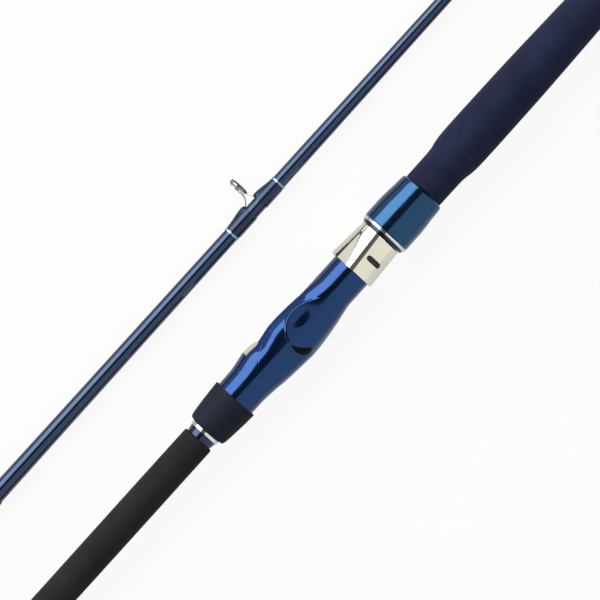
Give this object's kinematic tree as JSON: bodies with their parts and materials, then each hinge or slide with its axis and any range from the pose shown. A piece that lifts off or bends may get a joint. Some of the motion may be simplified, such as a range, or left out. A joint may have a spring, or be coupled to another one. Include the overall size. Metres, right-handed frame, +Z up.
{
  "type": "two-piece casting rod",
  "caption": "Two-piece casting rod taken apart: a handle section with reel seat, sliding hood and lock nut, beside a tapered tip section with line guides.",
  "frame": {"origin": "middle of the footprint of the two sections as they lie side by side, on the surface under them", "axes": "+Y along the rod towards its tip, -X the side that carries the reel and the line guides, +Z up from the surface that the sections lie on"},
  "size_m": [0.1076, 1.267, 0.0326],
  "materials": {
    "eva_black": "fine closed-cell foam, matte",
    "eva_navy": "fine closed-cell foam, matte",
    "collar_dark": "soft-touch moulding, matte",
    "rubber_black": "moulded rubber, matte",
    "blue_gloss": "deep metallic blue under clear coat",
    "blank_blue": "glossy navy clear-coated composite tube",
    "wrap_blue": "thread under epoxy, glossy",
    "trim_silver": "bright metallic thread or ring",
    "chrome_hood": "polished",
    "guide_steel": "polished stainless wire and stampings",
    "guide_ceramic": "dark polished ceramic ring",
    "barrel_black": "moulded, satin",
    "liner_black": "moulded, satin",
    "bush_foam": "rigid foam",
    "lip_dark": "dark gloss band"
  },
  "bodies": {
    "handle": {"butt_cap": "rubber_black", "rear_grip": "eva_black", "rear_check": "blue_gloss", "rear_ring": "trim_silver", "rear_collar": "collar_dark", "handle_blank": "blank_blue", "seat_body": "blue_gloss", "fixed_hood_insert": "chrome_hood", "threaded_barrel": "barrel_black", "rear_bushes": "bush_foam", "front_bushes": "bush_foam", "foregrip": "eva_navy", "foregrip_check": "blue_gloss", "socket_wrap": "wrap_blue", "socket_trim": "trim_silver", "stripper_frame": "guide_steel", "stripper_ring": "guide_ceramic", "stripper_wraps": "wrap_blue", "stripper_trims": "trim_silver"},
    "hood": {"hood_shell": "chrome_hood", "hood_liner": "liner_black"},
    "lock_nut": {"nut_lip": "lip_dark", "nut_ring": "trim_silver", "nut_insert": "barrel_black", "nut_shell": "blue_gloss"},
    "tip_section": {"tip_blank": "blank_blue", "ferrule_trim": "trim_silver", "ferrule_wrap": "wrap_blue", "tip_top_frame": "guide_steel", "tip_top_ring": "guide_ceramic", "tip_top_wrap": "wrap_blue", "guide_1_frame": "guide_steel", "guide_1_ring": "guide_ceramic", "guide_1_wraps": "wrap_blue", "guide_1_trims": "trim_silver", "guide_2_frame": "guide_steel", "guide_2_ring": "guide_ceramic", "guide_2_wraps": "wrap_blue", "guide_2_trims": "trim_silver", "guide_3_frame": "guide_steel", "guide_3_ring": "guide_ceramic", "guide_3_wraps": "wrap_blue", "guide_3_trims": "trim_silver", "guide_4_frame": "guide_steel", "guide_4_ring": "guide_ceramic", "guide_4_wraps": "wrap_blue", "guide_4_trims": "trim_silver", "guide_5_frame": "guide_steel", "guide_5_ring": "guide_ceramic", "guide_5_wraps": "wrap_blue", "guide_5_trims": "trim_silver"}
  },
  "joints": [
    {"name": "nut_turn", "type": "hinge", "parent": "hood", "child": "lock_nut", "pos_m": [0.0366, -0.0785, 0.0163], "axis": [0, -1, 0], "range_deg": [0, 2520]},
    {"name": "hood_slide", "type": "slide", "parent": "handle", "child": "hood", "axis": [0, -1, 0], "range_m": [0, 0.01401]},
    {"name": "ferrule_slide", "type": "slide", "parent": "handle", "child": "tip_section", "axis": [0, 1, 0], "range_m": [0, 0.058]}
  ],
  "couplings": [
    {"joint": "hood_slide", "follows": "nut_turn", "m_per_rad": 0.00031831}
  ]
}
